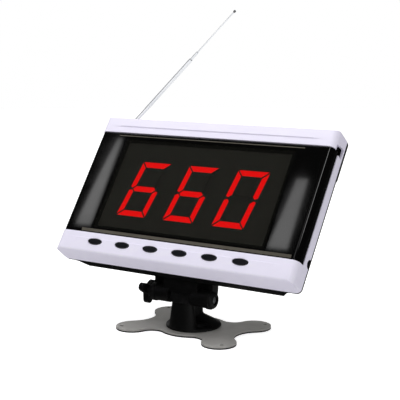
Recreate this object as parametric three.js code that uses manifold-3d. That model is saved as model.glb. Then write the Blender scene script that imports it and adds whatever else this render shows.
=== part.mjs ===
// A table-top call receiver: a wide display head with three red seven-segment digits and six
// keys, tilting on a small four-lobed stand, with a telescopic antenna at its upper left corner.
// Millimetres, +Z up. The origin is on the ground under the centre of the base; the head faces -Y.

import * as THREE from 'three';
import { mergeVertices } from 'three/addons/utils/BufferGeometryUtils.js';
import Module from 'manifold-3d';

const wasm = await Module();
wasm.setup();

// ---------------------------------------------------------------- driving dimensions

const GAP = 0.3;                  // clearance between pieces that touch
const TILT = THREE.MathUtils.degToRad(35.6);

// Head: u runs right, v up the face and n out of the face. n = 0 is the parting plane of the
// two shells, and the front frame's lower edge is at v = HEAD_BASE.
const HEAD_WIDTH = 278;
const HEAD_BASE = 1.2;
const HEAD_HEIGHT = 163.6;
const HEAD_CORNER = 5;
const FRAME_DEPTH = 23;
const FRAME_WALL = 3.2;
const SIDE_STRIP_DEPTH = 9.5;
const CREST_INSET = 2.3;
const FACE_BACK = 19.8;           // inner side of the bars' front wall
const WINDOW_LOW = 25.1;
const WINDOW_HIGH = 143.4;
const BEZEL_FACE = 22;
const BEZEL_WALL = 2.4;
const BEZEL_HALF = 137.8;
const BEZEL_TURN = 6.5;
const FLANK_DROP = 0.8;           // the panel's face eases back this far over the flanks
const GROOVE_LOW = 18.6;          // step in the lower bar's face, just above the keys
const GROOVE_HIGH = 150.6;
const FILTER_HALF = 100;
const FILTER_LOW = 31.4;
const FILTER_HIGH = 135.6;
const FILTER_FACE = 21.7;
const FILTER_THICK = 1.8;

// Digits
const DIGIT_COUNT = 3;
const DIGIT_PITCH = 57.3;
const DIGIT_WIDTH = 35.8;
const DIGIT_HEIGHT = 62.4;
const DIGIT_SLANT = Math.tan(THREE.MathUtils.degToRad(8.5));
const DIGIT_LOW = 49.2;
const SEGMENT = 6.3;              // stroke width of a segment
const SEGMENT_FACE = 18.9;
const MODULE_HALF = 27.6;
const MODULE_MARGIN = 8.5;
const MODULE_FACE = 18.6;

// Boards
const BOARD_THICK = 1.6;
const BOARD_BACK = 4.5;
const KEY_BOARD_BACK = 5.5;

// Keys
const KEY_COUNT = 6;
const KEY_PITCH = 34.2;
const KEY_CENTRE_U = -4.3;
const KEY_V = 15.5;
const KEY_LENGTH = 17;
const KEY_WIDTH = 6.2;
const KEY_FACE = 23.8;
const KEY_STEM_END = 13;
const SWITCH_TOP = 11.9;

// Rear shell
const RIM_THICK = 2.3;
const PAN_DEPTH = 14.5;
const PAN_WALL = 2;
const SHOULDER_RISE = 2.5;

// Stand
const HINGE_Y = -19;
const HINGE_Z = 38;
const HEAD_LIFT = 9.3;            // from the hinge axis up to v = 0
const HEAD_FORWARD = 27.2;        // from the hinge axis forward to the parting plane
const BOLT_RADIUS = 2;
const BARREL_RADIUS = 8.6;
const BARREL_START = 13.6;         // the barrels run from here out to the ears
const YOKE_PLATE = 4;
const BRACKET_SCREWS = [[-20, 33], [20, 33]];
const EAR_RADIUS = 9.3;
const EAR_INNER = 30;
const EAR_OUTER = 34.5;
const NUT_BOSS_OUTER = 38;        // a domed boss on the right ear takes the nut
const NUT_SEAT = 33;
const KNOB_LOBES = [-90, 30, 150].map((angle) => THREE.MathUtils.degToRad(angle));
const KNOB_LOBE = { reach: 9.2, radius: 4.2 };
const KNUCKLE_RADIUS = 5.7;
const KNUCKLE_HALF = 11.5;
const WEB_HALF = 20;
const FLANGE_RADIUS = 28;
const FLANGE_BOTTOM = 3.4;
const FLANGE_THICK = 2.6;
const LOBE_RADIUS = 17.2;
const LOBE_REACH = 61.4;
const LOBE_ANGLE = THREE.MathUtils.degToRad(33.3);
const LOBE_HOLE = { x: 59.5, y: 41.5, radius: 1.9 };
const BASE_WAIST = 52;
const BASE_MIDDLE = 35;
const BASE_FILLET = 13;
const PAD_TOP = 1;
const PLATE_BOTTOM = PAD_TOP + GAP;
const PLATE_THICK = 1.8;
const DOME_RADIUS = 15;
const DOME_RISE = 2.6;

// Antenna: it turns about a screw at the upper left corner, behind the rim.
const ANTENNA_U = -130.4;
const ANTENNA_V = 158.6;
const ANTENNA_N = -6;
const ANTENNA_LEAN = THREE.MathUtils.degToRad(27);
const KNUCKLE_EYE = 4;
const TUBE_1 = { outer: 2.3, bore: 1.85, start: 4.3, end: 109 };
const TUBE_2 = { outer: 1.5, bore: 1.15, start: 22, end: 120 };
const TUBE_3 = { outer: 0.8, start: 100, end: 180 };
const TIP_RADIUS = 1.7;

// ---------------------------------------------------------------- materials

function material(color, roughness, metalness = 0) {
  return new THREE.MeshStandardMaterial({ color, roughness, metalness });
}

const WHITE_PLASTIC = material(0xeceaf6, 0.42);
const GLOSS_BLACK = material(0x08080a, 0.08);
const SMOKED_PANEL = material(0x262622, 0.35);
const BLACK_PLASTIC = material(0x121212, 0.55);
const KEY_PLASTIC = material(0x191a20, 0.4);
const HOUSING_PLASTIC = material(0x1b1b1b, 0.6);
const SEGMENT_RED = material(0xe80a0a, 0.4);
const BOARD_GREEN = material(0x1d4a2a, 0.5);
const PAINTED_STEEL = material(0x787672, 0.5, 0.4);
const CHROME = material(0xd8dadd, 0.12, 1);
const ZINC_STEEL = material(0xb0b2b6, 0.3, 1);
const FOAM = material(0x151515, 0.95);

// ---------------------------------------------------------------- geometry helpers

const AXES = {
  x: new THREE.Matrix4().makeBasis(
    new THREE.Vector3(0, 1, 0), new THREE.Vector3(0, 0, 1), new THREE.Vector3(1, 0, 0)),
  y: new THREE.Matrix4().makeBasis(
    new THREE.Vector3(0, 0, 1), new THREE.Vector3(1, 0, 0), new THREE.Vector3(0, 1, 0)),
  z: new THREE.Matrix4(),
};

// A closed three.js geometry as a solid that can be joined and cut.
function solid(geometry) {
  const bare = geometry.clone();
  bare.deleteAttribute('normal');
  bare.deleteAttribute('uv');
  const merged = mergeVertices(bare, 1e-4);
  return new wasm.Manifold(new wasm.Mesh({
    numProp: 3,
    vertProperties: new Float32Array(merged.attributes.position.array),
    triVerts: new Uint32Array(merged.index.array),
  }));
}

// A solid back as a three.js geometry with flat normals.
function geometryOf(body) {
  const mesh = body.getMesh();
  const geometry = new THREE.BufferGeometry();
  geometry.setAttribute('position', new THREE.BufferAttribute(mesh.vertProperties, 3));
  geometry.setIndex(new THREE.BufferAttribute(mesh.triVerts, 1));
  geometry.computeVertexNormals();
  return geometry;
}

function outline(points) {
  return new THREE.Shape(points.map(([x, y]) => new THREE.Vector2(x, y)));
}

// An outline pushed along one axis, from low to high. For x the outline is in (y, z), for y in
// (z, x) and for z in (x, y). Each arc of the outline gets the stated number of straight steps.
function prism(shape, low, high, axis = 'z', steps = 8) {
  const options = { depth: high - low, bevelEnabled: false, curveSegments: Math.ceil(steps / 2) };
  const geometry = new THREE.ExtrudeGeometry(shape, options);
  geometry.translate(0, 0, low);
  geometry.applyMatrix4(AXES[axis]);
  return solid(geometry);
}

function block(x0, x1, y0, y1, z0, z1) {
  const geometry = new THREE.BoxGeometry(x1 - x0, y1 - y0, z1 - z0);
  geometry.translate((x0 + x1) / 2, (y0 + y1) / 2, (z0 + z1) / 2);
  return solid(geometry);
}

function circle(x, y, radius) {
  const shape = new THREE.Shape();
  shape.absarc(x, y, radius, 0, 2 * Math.PI);
  return shape;
}

// A rod along an axis; (a, b) is its centre in the prism's outline plane.
function rod(a, b, radius, low, high, axis = 'z', steps = 20) {
  return prism(circle(a, b, radius), low, high, axis, steps);
}

function roundedRectangle(x0, y0, x1, y1, radius) {
  const shape = new THREE.Shape();
  shape.absarc(x1 - radius, y0 + radius, radius, -Math.PI / 2, 0);
  shape.absarc(x1 - radius, y1 - radius, radius, 0, Math.PI / 2);
  shape.absarc(x0 + radius, y1 - radius, radius, Math.PI / 2, Math.PI);
  shape.absarc(x0 + radius, y0 + radius, radius, Math.PI, 1.5 * Math.PI);
  return shape;
}

function oval(x, y, length, width) {
  const shape = new THREE.Shape();
  shape.absellipse(x, y, length / 2, width / 2, 0, 2 * Math.PI);
  return shape;
}

// A profile of (radius, height) points turned about an axis.
function turned(profile, steps = 32, axis = 'z') {
  const geometry = new THREE.LatheGeometry(profile.map(([r, z]) => new THREE.Vector2(r, z)), steps);
  geometry.rotateX(Math.PI / 2);
  geometry.applyMatrix4(AXES[axis]);
  return solid(geometry);
}

function united(bodies) {
  return bodies.reduce((sum, body) => sum.add(body));
}

function cutAll(body, tools) {
  return tools.reduce((rest, tool) => rest.subtract(tool), body);
}

function mirrored(build) {
  return [-1, 1].map(build);
}

function piece(parent, name, body, look) {
  const mesh = new THREE.Mesh(geometryOf(body), look);
  mesh.name = name;
  parent.add(mesh);
  return mesh;
}

function sortedPair(a, b) {
  return [Math.min(a, b), Math.max(a, b)];
}

// ---------------------------------------------------------------- base and stand

// Four round lobes on a round middle. At the front and back small hollow arcs join the lobes to
// the middle, and at each side one wider hollow arc joins two lobes. Both halves are alike.
function baseOutline() {
  const lobe = { x: LOBE_REACH * Math.cos(LOBE_ANGLE), y: LOBE_REACH * Math.sin(LOBE_ANGLE) };
  const step = BASE_WAIST - lobe.x;
  const sideRadius = (lobe.y ** 2 + step ** 2 - LOBE_RADIUS ** 2) / (2 * (LOBE_RADIUS - step));
  const sideCentre = BASE_WAIST + sideRadius;
  const sideTurn = Math.atan2(lobe.y, sideCentre - lobe.x);
  const toMiddle = BASE_MIDDLE + BASE_FILLET;
  const toLobe = LOBE_RADIUS + BASE_FILLET;
  const along = (toMiddle ** 2 - toLobe ** 2 + LOBE_REACH ** 2) / (2 * LOBE_REACH);
  const filletTurn = LOBE_ANGLE + Math.acos(along / toMiddle);
  const fillet = { x: toMiddle * Math.cos(filletTurn), y: toMiddle * Math.sin(filletTurn) };
  const lobeTurn = Math.atan2(fillet.y - lobe.y, fillet.x - lobe.x);
  const shape = new THREE.Shape();
  [0, Math.PI].forEach((half) => {
    const arc = (x, y, radius, from, to, clockwise) => {
      const sign = Math.cos(half);
      shape.absarc(x * sign, y * sign, radius, half + from, half + to, clockwise);
    };
    arc(lobe.x, lobe.y, LOBE_RADIUS, -sideTurn, lobeTurn, false);
    arc(fillet.x, fillet.y, BASE_FILLET, lobeTurn - Math.PI, filletTurn - Math.PI, true);
    arc(0, 0, BASE_MIDDLE, filletTurn, Math.PI - filletTurn, false);
    arc(-fillet.x, fillet.y, BASE_FILLET, -filletTurn, -lobeTurn, true);
    arc(-lobe.x, lobe.y, LOBE_RADIUS, Math.PI - lobeTurn, Math.PI + sideTurn, false);
    arc(-sideCentre, 0, sideRadius, sideTurn, -sideTurn, true);
  });
  return shape;
}

function lobeHoles() {
  const { x, y, radius } = LOBE_HOLE;
  return [[x, y], [-x, y], [-x, -y], [x, -y]].map(([a, b]) => rod(a, b, radius, 0, 9, 'z', 12));
}

function basePad() {
  return prism(baseOutline(), 0, PAD_TOP, 'z', 12);
}

// The plate is pressed up in the middle, so that the swivel screw's head fits under it.
function basePlate() {
  const top = PLATE_BOTTOM + PLATE_THICK;
  const plate = prism(baseOutline(), PLATE_BOTTOM, top, 'z', 12);
  const dome = rod(0, 0, DOME_RADIUS, PLATE_BOTTOM, top + DOME_RISE);
  const underside = rod(0, 0, DOME_RADIUS - PLATE_THICK, 0, PLATE_BOTTOM + DOME_RISE);
  const swivelHole = rod(0, 0, 2.8, 0, 9);
  return cutAll(plate.add(dome), [underside, swivelHole, ...lobeHoles()]);
}

function swivelScrew() {
  const headBottom = PAD_TOP + GAP;
  const head = rod(0, 0, 4.6, headBottom, headBottom + 1);
  const shank = rod(0, 0, 2.4, headBottom + 1, 19);
  return head.add(shank);
}

function swivelWasher() {
  const low = PAD_TOP + GAP + 1 + GAP;
  const top = PLATE_BOTTOM + DOME_RISE - GAP;
  return rod(0, 0, 7, low, top).subtract(rod(0, 0, 2.75, 0, 9));
}

// A tapering column at the front carries the hinge knuckle; behind it a neck runs down into a
// flared heel on the same round flange.
function pedestal() {
  const flangeTop = FLANGE_BOTTOM + FLANGE_THICK;
  const columnDepth = 9;
  const flange = turned([
    [0, FLANGE_BOTTOM], [FLANGE_RADIUS, FLANGE_BOTTOM], [FLANGE_RADIUS, flangeTop - 0.9],
    [FLANGE_RADIUS - 0.9, flangeTop], [20, flangeTop + 0.4], [18, 9], [0, 9],
  ], 48);
  const shoulder = HINGE_Z - 5;
  const columnShape = new THREE.CylinderGeometry(11.8, 15.8, shoulder - flangeTop + 1, 40);
  columnShape.rotateX(Math.PI / 2);
  columnShape.scale(1, columnDepth / 15, 1);
  columnShape.translate(0, HINGE_Y, (shoulder + flangeTop - 1) / 2);
  const knuckle = rod(HINGE_Y, HINGE_Z, KNUCKLE_RADIUS, -KNUCKLE_HALF, KNUCKLE_HALF, 'x', 24);
  const rise = outline([
    [HINGE_Y - 7.6, shoulder - 1], [HINGE_Y + 7, shoulder - 1],
    [HINGE_Y + KNUCKLE_RADIUS, HINGE_Z], [HINGE_Y - KNUCKLE_RADIUS, HINGE_Z],
  ]);
  const knuckleRise = prism(rise, -KNUCKLE_HALF, KNUCKLE_HALF, 'x');
  const heelCut = block(-40, 40, -40, -4.5, 0, 60);
  const heel = turned([[0, 5], [27, 5.2], [27, 6], [12.5, 14], [10.5, 15.5], [9.5, 18], [9.5, 24],
    [8, 26.5], [0, 26.5]], 40);
  const neckShape = outline([[-22, 15], [-3, 15], [2, 16], [4, 24], [-6, 27.5], [-22, 27.5]]);
  const neck = prism(neckShape, -8.5, 8.5, 'x');
  const hollow = rod(0, 0, DOME_RADIUS + 1, 0, 6.2);
  const screwHole = rod(0, 0, 2.75, 0, 22);
  const boltHole = rod(HINGE_Y, HINGE_Z, BOLT_RADIUS + GAP, -40, 40, 'x');
  const body = united([flange, solid(columnShape), knuckle, knuckleRise, heel.subtract(heelCut), neck]);
  return cutAll(body, [hollow, screwHole, boltHole]);
}

// The yoke is described around the hinge axis, in the head's directions: (v, n) outlines.
function yoke() {
  const plateBack = HEAD_FORWARD - PAN_DEPTH - GAP;
  const plateFront = plateBack - YOKE_PLATE;
  const plateShape = roundedRectangle(-32, 14, 32, 50, 4);
  const plate = prism(plateShape, plateFront, plateBack, 'z', 5);
  const ear = outline([[0, 0], [1.9, 0.8], [18, plateBack - 0.1], [30, plateBack - 0.1],
    [30, plateFront], [14, -4], [5.4, -7.6]]);
  const ears = mirrored((side) => {
    const [low, high] = sortedPair(side * EAR_INNER, side * EAR_OUTER);
    return prism(ear, low, high, 'x').add(rod(0, 0, EAR_RADIUS, low, high, 'x', 28));
  });
  const boss = turned([[0, EAR_OUTER - 0.5], [8.6, EAR_OUTER - 0.5], [8.4, 35.8], [7.6, 37],
    [5.8, NUT_BOSS_OUTER], [0, NUT_BOSS_OUTER]], 28, 'x');
  const wall = outline([[5.4, -5.6], [9.5, -6], [30, plateFront - 0.2], [30, plateBack - 0.1],
    [23, plateBack - 0.1], [6, -1.6]]);
  const backWall = prism(wall, -EAR_INNER - 0.5, EAR_INNER + 0.5, 'x');
  const barrels = mirrored((side) => {
    const [low, high] = sortedPair(side * BARREL_START, side * (EAR_INNER + 0.5));
    return rod(0, 0, BARREL_RADIUS, low, high, 'x', 28);
  });
  const webShape = outline([[-0.6, 6.5], [7.9, plateBack - 0.1], [30, plateBack - 0.1], [24, 4],
    [9.5, -5.5], [5.3, -5.2]]);
  const web = prism(webShape, -WEB_HALF, WEB_HALF, 'x');
  const knuckleRoom = rod(0, 0, KNUCKLE_RADIUS + 0.6, -KNUCKLE_HALF - 0.6, KNUCKLE_HALF + 0.6, 'x', 28);
  const boltHole = rod(0, 0, BOLT_RADIUS + GAP, -50, 50, 'x');
  const counterbore = rod(0, 0, 4.4, NUT_SEAT, 50, 'x', 24);
  const screwHoles = BRACKET_SCREWS.map(([u, v]) => rod(u, v + HEAD_LIFT, 2.1, 0, 40));
  const body = united([plate, ...ears, boss, backWall, ...barrels, web]);
  return cutAll(body, [knuckleRoom, boltHole, counterbore, ...screwHoles]);
}

function tiltBolt() {
  return rod(0, 0, BOLT_RADIUS, -44, NUT_SEAT + 4.2, 'x', 20);
}

function tiltNut() {
  const low = NUT_SEAT + GAP;
  const hexagon = prism(circle(0, 0, 4.1), low, low + 3, 'x', 6);
  return hexagon.subtract(rod(0, 0, BOLT_RADIUS + GAP, 0, 60, 'x'));
}

// A moulded knob: a round hub with three round-ended lobes, one of them straight down.
function wingKnob() {
  const hubInner = -EAR_OUTER - GAP;
  const hub = rod(0, 0, 5.6, -43.5, hubInner, 'x', 24);
  const lobes = KNOB_LOBES.map((angle) => {
    const along = new THREE.Vector2(Math.cos(angle), Math.sin(angle));
    const corner = (reach, half) => [along.x * reach - along.y * half, along.y * reach + along.x * half];
    const arm = outline([corner(0, -4.6), corner(KNOB_LOBE.reach, -KNOB_LOBE.radius),
      corner(KNOB_LOBE.reach, KNOB_LOBE.radius), corner(0, 4.6)]);
    const [y, z] = corner(KNOB_LOBE.reach, 0);
    return prism(arm, -46, -40, 'x').add(rod(y, z, KNOB_LOBE.radius, -46, -40, 'x', 24));
  });
  return united([hub, ...lobes]).subtract(rod(0, 0, BOLT_RADIUS + GAP, -44.5, 0, 'x'));
}

// ---------------------------------------------------------------- head shells

// Three outlines cut each other: the bars' section, the plan of the ends and the front view.
function frameBlank() {
  const depth = FRAME_DEPTH;
  const crest = CREST_INSET;
  const section = outline([
    [HEAD_BASE, 0], [HEAD_BASE + crest + 0.2, depth - 2.6], [HEAD_BASE + crest + 0.9, depth - 1.5],
    [HEAD_BASE + crest + 2.2, depth - 0.9],
    [GROOVE_LOW - 0.5, depth], [GROOVE_LOW + 0.5, depth - 0.7], [WINDOW_LOW + 4, depth - 1.1],
    [WINDOW_HIGH - 4, depth - 1.1], [GROOVE_HIGH - 0.5, depth - 0.7],
    [GROOVE_HIGH + 0.5, depth], [HEAD_HEIGHT - crest - 1.8, depth - 0.9],
    [HEAD_HEIGHT - crest - 0.5, depth - 1.5], [HEAD_HEIGHT - crest + 0.2, depth - 2.6],
    [HEAD_HEIGHT, 0],
  ]);
  const half = HEAD_WIDTH / 2;
  const turn = [[0, half], [14.8, half - 0.9], [18.2, half - 2.1], [20.4, half - 4.6],
    [21.4, half - 8.5], [depth + 0.1, half - 22], [depth + 1, half - 24]];
  const plan = outline(turn.concat(turn.map(([n, u]) => [n, -u]).reverse()));
  const front = roundedRectangle(-half, HEAD_BASE, half, HEAD_HEIGHT, HEAD_CORNER);
  const bars = prism(section, -half - 1, half + 1, 'x');
  const ends = prism(plan, -1, HEAD_HEIGHT + 1, 'y');
  return bars.intersect(ends).intersect(prism(front, 0, depth + 1, 'z', 6));
}

const REAR_SCREWS = [[-129, 12], [129, 12], [-116, 153.4], [116, 153.4]];

function keyCentre(index) {
  return KEY_CENTRE_U + (index - (KEY_COUNT - 1) / 2) * KEY_PITCH;
}

function frontFrame() {
  const half = HEAD_WIDTH / 2;
  const wall = FRAME_WALL;
  const inner = half - wall;
  const high = HEAD_HEIGHT - wall;
  const low = HEAD_BASE + wall;
  const cavity = block(-inner, inner, low, high, -1, SIDE_STRIP_DEPTH - 0.2);
  const lowBar = block(-inner + 2, inner - 2, low + 1, WINDOW_LOW - 2.7, 5, FACE_BACK);
  const topBar = block(-inner + 2, inner - 2, WINDOW_HIGH + 2.7, high - 0.2, 5, FACE_BACK);
  const windowRoom = block(-half - 1, half + 1, WINDOW_LOW, WINDOW_HIGH, SIDE_STRIP_DEPTH, 30);
  const throat = block(-inner, inner, WINDOW_LOW, WINDOW_HIGH, 0, SIDE_STRIP_DEPTH + 1);
  const keyHoles = [];
  for (let index = 0; index < KEY_COUNT; index += 1) {
    const hole = oval(keyCentre(index), KEY_V, KEY_LENGTH + 0.8, KEY_WIDTH + 0.8);
    keyHoles.push(prism(hole, 15, 30, 'z', 24));
  }
  const clipNotch = outline([[148.6, 16.7], [150.8, 1.7], [139.8, 1.3], [141.2, 16.3]]);
  const notches = mirrored((side) => {
    const [near, far] = sortedPair(side * (inner - 0.5), side * (half + 1));
    return prism(clipNotch, near, far, 'x').add(rod(30.5, 0, 4.6, near, far, 'x', 16));
  });
  const shell = cutAll(frameBlank(), [cavity, lowBar, topBar, windowRoom, throat, ...keyHoles, ...notches]);
  const bosses = REAR_SCREWS.map(([u, v]) => rod(u, v, 3.6, GAP, FACE_BACK + 0.5, 'z', 16));
  const pilotHoles = REAR_SCREWS.map(([u, v]) => rod(u, v, 1.5, -1, 10.5, 'z', 12));
  return cutAll(united([shell, ...bosses]), pilotHoles);
}

// Section of the gloss panel in (n, u): flat in the middle, easing back over the flanks, and
// turning round the side of the head.
function bezelSection(offset) {
  const face = BEZEL_FACE - offset;
  const side = BEZEL_HALF - offset;
  const turnRadius = BEZEL_TURN - offset;
  const turnCentre = { n: BEZEL_FACE - FLANK_DROP - BEZEL_TURN, u: BEZEL_HALF - BEZEL_TURN };
  const right = [[SIDE_STRIP_DEPTH + GAP, side]];
  const steps = 7;
  for (let index = 0; index <= steps; index += 1) {
    const angle = Math.PI / 2 * (1 - index / steps) * 0.94 + 0.06;
    right.push([turnCentre.n + turnRadius * Math.cos(angle), turnCentre.u + turnRadius * Math.sin(angle)]);
  }
  right.push([face - FLANK_DROP / 3, 118]);
  right.push([face, 102.5]);
  const left = right.map(([n, u]) => [n, -u]).reverse();
  return right.concat(left);
}

function frontBezel() {
  const loop = bezelSection(0).concat(bezelSection(BEZEL_WALL).reverse());
  const sheet = prism(outline(loop), WINDOW_LOW + GAP, WINDOW_HIGH - GAP, 'y');
  const opening = roundedRectangle(-FILTER_HALF - GAP, FILTER_LOW - GAP, FILTER_HALF + GAP,
    FILTER_HIGH + GAP, 1);
  const ledgeBack = FILTER_FACE - FILTER_THICK - GAP - 1.6;
  const ledge = block(-FILTER_HALF - 3.5, FILTER_HALF + 3.5, FILTER_LOW - 3.5, FILTER_HIGH + 3.5,
    ledgeBack, BEZEL_FACE - 1);
  const ledgeHole = block(-FILTER_HALF + 3, FILTER_HALF - 3, FILTER_LOW + 3, FILTER_HIGH - 3, 0, 30);
  const ledgeTop = FILTER_FACE - FILTER_THICK - GAP;
  return cutAll(sheet.add(ledge), [prism(opening, ledgeTop, 30, 'z', 4), ledgeHole]);
}

function displayFilter() {
  const shape = roundedRectangle(-FILTER_HALF, FILTER_LOW, FILTER_HALF, FILTER_HIGH, 0.8);
  return prism(shape, FILTER_FACE - FILTER_THICK, FILTER_FACE, 'z', 4);
}

// Outer and inner faces of the pan share one formula; inset 0 is the outside.
function pan(inset, front) {
  const floor = -PAN_DEPTH + inset;
  const low = HEAD_BASE + 0.4 + inset;
  const plan = outline([[front, -125 + inset], [floor, -115.5 + inset], [floor, 115.5 - inset],
    [front, 125 - inset]]);
  const side = outline([[low, front], [low + 0.2, floor], [136 - inset, floor], [151 - inset, front]]);
  return prism(plan, 0, HEAD_HEIGHT, 'y').intersect(prism(side, -130, 130, 'x'));
}

const BOARD_POSTS = [[-106, 35], [106, 35], [-106, 133], [106, 133]];
const KEY_POSTS = [[-40, 9.5], [40, 9.5]];
const BUZZER = { u: 62, v: 70, radius: 14 };
const JACK = { u: -72, v: 20 };

function rearCover() {
  const rimBack = -GAP - RIM_THICK;
  const half = HEAD_WIDTH / 2 - GAP;
  const rimShape = roundedRectangle(-half, HEAD_BASE + GAP, half, HEAD_HEIGHT - GAP, HEAD_CORNER);
  const rim = prism(rimShape, rimBack, -GAP, 'z', 6);
  const shoulders = [
    roundedRectangle(121, 117, half - 0.5, HEAD_HEIGHT - 0.8, 4),
    roundedRectangle(-half + 0.5, 117, -121, 146, 4),
  ].map((shape) => prism(shape, rimBack - SHOULDER_RISE, rimBack + 0.5, 'z', 6));
  const outer = united([rim, pan(0, rimBack + 0.5), ...shoulders]);
  const inner = pan(PAN_WALL, 2);
  const floor = -PAN_DEPTH + PAN_WALL;
  const posts = BOARD_POSTS.map(([u, v]) => rod(u, v, 3, floor - 0.5, BOARD_BACK - GAP, 'z', 12));
  const keyPosts = KEY_POSTS.map(([u, v]) => rod(u, v, 2.5, floor - 0.5, KEY_BOARD_BACK - GAP, 'z', 12));
  const bosses = BRACKET_SCREWS.map(([u, v]) => rod(u, v, 4, floor - 0.5, -1, 'z', 16));
  const slots = [];
  for (let row = -2; row <= 2; row += 1) {
    const v = BUZZER.v + row * 5;
    const slot = roundedRectangle(BUZZER.u - 9, v - 1.1, BUZZER.u + 9, v + 1.1, 1.05);
    slots.push(prism(slot, -20, floor + 1, 'z', 3));
  }
  for (let column = -6; column <= 6; column += 1) {
    const u = column * 8;
    const slot = roundedRectangle(u - 1.2, 112, u + 1.2, 128, 1.15);
    slots.push(prism(slot, -20, floor + 1, 'z', 3));
  }
  const rimHoles = REAR_SCREWS.map(([u, v]) => rod(u, v, 1.6, -20, 5, 'z', 12));
  const bracketHoles = BRACKET_SCREWS.map(([u, v]) => rod(u, v, 1.7, -20, -2.5, 'z', 12));
  const jackHole = rod(JACK.u, JACK.v, 4.4, -20, floor + 1, 'z', 20);
  const antennaHole = rod(ANTENNA_U, ANTENNA_V, 1.3, -20, 5, 'z', 12);
  const shell = united([outer.subtract(inner), ...posts, ...keyPosts, ...bosses]);
  return cutAll(shell, [...slots, ...rimHoles, ...bracketHoles, jackHole, antennaHole]);
}

// A pan-head screw along n with its head towards the back.
function screw(headBack, headThick, headRadius, shankRadius, end) {
  const head = rod(0, 0, headRadius, headBack, headBack + headThick, 'z', 16);
  const recess = united([
    block(-headRadius * 0.55, headRadius * 0.55, -0.4, 0.4, headBack - 1, headBack + headThick * 0.5),
    block(-0.4, 0.4, -headRadius * 0.55, headRadius * 0.55, headBack - 1, headBack + headThick * 0.5),
  ]);
  return head.add(rod(0, 0, shankRadius, headBack + headThick, end, 'z', 12)).subtract(recess);
}

// ---------------------------------------------------------------- digits, boards and keys

// The seven strokes of one digit, counted a to g, upright; digitPoint leans them over.
function digitStrokes() {
  const w = DIGIT_WIDTH;
  const h = DIGIT_HEIGHT;
  const s = SEGMENT;
  const mitre = 0.8;
  const mid = h / 2;
  const top = [[mitre, h], [w - mitre, h], [w - mitre - s, h - s], [mitre + s, h - s]];
  const upperLeft = [[0, h - mitre], [0, mid + 2.2], [s / 2, mid + mitre], [s, mid + s / 2 + 0.5],
    [s, h - s - mitre]];
  const middle = [[s / 2 + mitre, mid], [s + mitre, mid + s / 2], [w - s - mitre, mid + s / 2],
    [w - s / 2 - mitre, mid], [w - s - mitre, mid - s / 2], [s + mitre, mid - s / 2]];
  const acrossFlip = (points) => points.map(([x, y]) => [w - x, y]).reverse();
  const downFlip = (points) => points.map(([x, y]) => [x, h - y]).reverse();
  const upperRight = acrossFlip(upperLeft);
  return [top, upperRight, downFlip(upperRight), downFlip(top), downFlip(upperLeft), upperLeft, middle];
}

function digitOrigin(index) {
  const lean = DIGIT_SLANT * DIGIT_HEIGHT / 2;
  return (index - (DIGIT_COUNT - 1) / 2) * DIGIT_PITCH - DIGIT_WIDTH / 2 - lean;
}

// Strokes grown by a margin about their own centres, placed and leaned for one digit.
function strokeBodies(index, margin, low, high) {
  const origin = digitOrigin(index);
  return digitStrokes().map((points) => {
    const cx = points.reduce((sum, [x]) => sum + x, 0) / points.length;
    const cy = points.reduce((sum, [, y]) => sum + y, 0) / points.length;
    const placed = points.map(([x, y]) => {
      const gx = x + Math.sign(x - cx) * margin;
      const gy = y + Math.sign(y - cy) * margin;
      return [origin + gx + gy * DIGIT_SLANT, DIGIT_LOW + gy];
    });
    return prism(outline(placed), low, high);
  });
}

function moduleOutline(index, inset) {
  const centre = (index - (DIGIT_COUNT - 1) / 2) * DIGIT_PITCH;
  const low = DIGIT_LOW - MODULE_MARGIN + inset;
  const high = DIGIT_LOW + DIGIT_HEIGHT + MODULE_MARGIN - inset;
  return roundedRectangle(centre - MODULE_HALF + inset, low, centre + MODULE_HALF - inset, high, 0.8);
}

function digitHousing(index) {
  const back = BOARD_BACK + BOARD_THICK + GAP;
  const box = prism(moduleOutline(index, 0), back, MODULE_FACE, 'z', 2);
  const inside = prism(moduleOutline(index, 1.6), back - 1, MODULE_FACE - 2.2, 'z', 2);
  return cutAll(box, [inside, ...strokeBodies(index, 0.3, 5, 30)]);
}

function digitDiffuser(index) {
  const front = MODULE_FACE - 2.2 - GAP;
  const plate = prism(moduleOutline(index, 2), front - 1.2, front, 'z', 2);
  return united([plate, ...strokeBodies(index, 0, front - 0.5, SEGMENT_FACE)]);
}

function displayBoard() {
  const shape = roundedRectangle(-112, 28.5, 112, 139, 2);
  const board = prism(shape, BOARD_BACK, BOARD_BACK + BOARD_THICK, 'z', 3);
  return cutAll(board, BOARD_POSTS.map(([u, v]) => rod(u, v, 1.6, 0, 20, 'z', 12)));
}

function keyBoard() {
  const shape = roundedRectangle(-104, 5.6, 98, 21.6, 1);
  return prism(shape, KEY_BOARD_BACK, KEY_BOARD_BACK + BOARD_THICK, 'z', 3);
}

function keySwitch(u) {
  const low = KEY_BOARD_BACK + BOARD_THICK + GAP;
  const body = prism(roundedRectangle(u - 3, KEY_V - 3, u + 3, KEY_V + 3, 0.6), low, low + 3.5, 'z', 2);
  return body.add(rod(u, KEY_V, 1.7, low + 3, SWITCH_TOP, 'z', 12));
}

// A key cap: a shallow crowned oval with a flange behind the face and a stem to its switch.
function keyCap(u) {
  const cap = new THREE.ExtrudeGeometry(oval(u, KEY_V, KEY_LENGTH - 1.6, KEY_WIDTH - 1.6), {
    depth: KEY_FACE - 0.6 - 18.6, curveSegments: 10, bevelThickness: 0.6, bevelSize: 0.8, bevelSegments: 2,
  });
  cap.translate(0, 0, 18.6);
  const flange = prism(oval(u, KEY_V, KEY_LENGTH + 2.4, KEY_WIDTH + 2.6), 17.6, 19, 'z', 20);
  const stem = rod(u, KEY_V, 1.8, KEY_STEM_END, 18, 'z', 12);
  return united([solid(cap), flange, stem]);
}

function receiverBoard() {
  return block(-78, -44, 80, 122, BOARD_BACK - GAP - 1, BOARD_BACK - GAP);
}

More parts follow.
